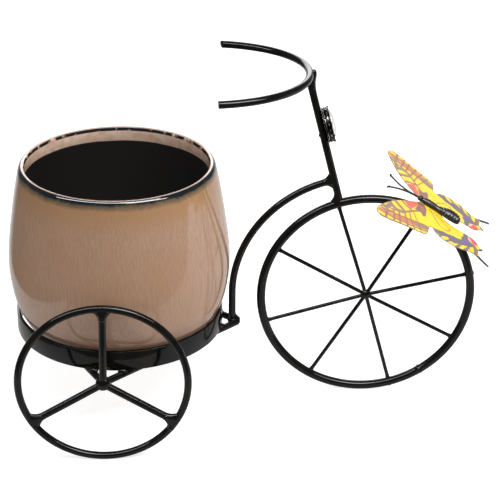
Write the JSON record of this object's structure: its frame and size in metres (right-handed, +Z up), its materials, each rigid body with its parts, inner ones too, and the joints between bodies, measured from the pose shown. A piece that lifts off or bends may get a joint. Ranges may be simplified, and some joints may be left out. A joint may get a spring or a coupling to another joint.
{
  "type": "bicycle planter",
  "caption": "Glazed pot held in a welded rod tricycle with a curved handlebar, a round headlamp on the leaning stem and a butterfly on the front wheel.",
  "frame": {"origin": "middle of the footprint, on the ground", "axes": "+X forward, from the pot to the front wheel; +Y to the rider's left; +Z up"},
  "size_m": [0.3604, 0.1904, 0.2605],
  "materials": {
    "black_steel": "gloss black",
    "taupe_glaze": "high gloss taupe glaze",
    "lamp_metal": "dark polished metal",
    "lamp_glass": "clear, polished",
    "printed_film": "printed film",
    "black_plastic": "black gloss",
    "magnet": "dull grey"
  },
  "bodies": {
    "frame": {"pot_ring": "black_steel", "base_frame": "black_steel", "left_wheel_rim": "black_steel", "left_wheel_hub": "black_steel", "left_wheel_spoke_1": "black_steel", "left_wheel_spoke_2": "black_steel", "left_wheel_spoke_3": "black_steel", "right_wheel_rim": "black_steel", "right_wheel_hub": "black_steel", "right_wheel_spoke_1": "black_steel", "right_wheel_spoke_2": "black_steel", "right_wheel_spoke_3": "black_steel", "front_wheel_rim": "black_steel", "front_wheel_hub": "black_steel", "front_wheel_spoke_1": "black_steel", "front_wheel_spoke_2": "black_steel", "front_wheel_spoke_3": "black_steel", "front_wheel_spoke_4": "black_steel", "front_wheel_spoke_5": "black_steel", "front_wheel_spoke_6": "black_steel", "front_wheel_spoke_7": "black_steel", "front_wheel_spoke_8": "black_steel", "backbone": "black_steel", "stem": "black_steel", "handlebar": "black_steel", "headlamp_plate": "lamp_metal", "headlamp_bezel": "lamp_metal", "headlamp_stone": "lamp_glass"},
    "pot": {"pot": "taupe_glaze"},
    "butterfly": {"butterfly_wings": "printed_film", "butterfly_body": "black_plastic", "butterfly_antenna_left": "black_plastic", "butterfly_antenna_right": "black_plastic", "butterfly_magnet": "magnet"}
  },
  "joints": [
    {"name": "pot_lift", "type": "slide", "parent": "frame", "child": "pot", "axis": [0, 0, 1], "range_m": [0, 0.21]},
    {"name": "butterfly_pull", "type": "slide", "parent": "frame", "child": "butterfly", "axis": [0.5344, 0, 0.8453], "range_m": [0, 0.03]}
  ]
}
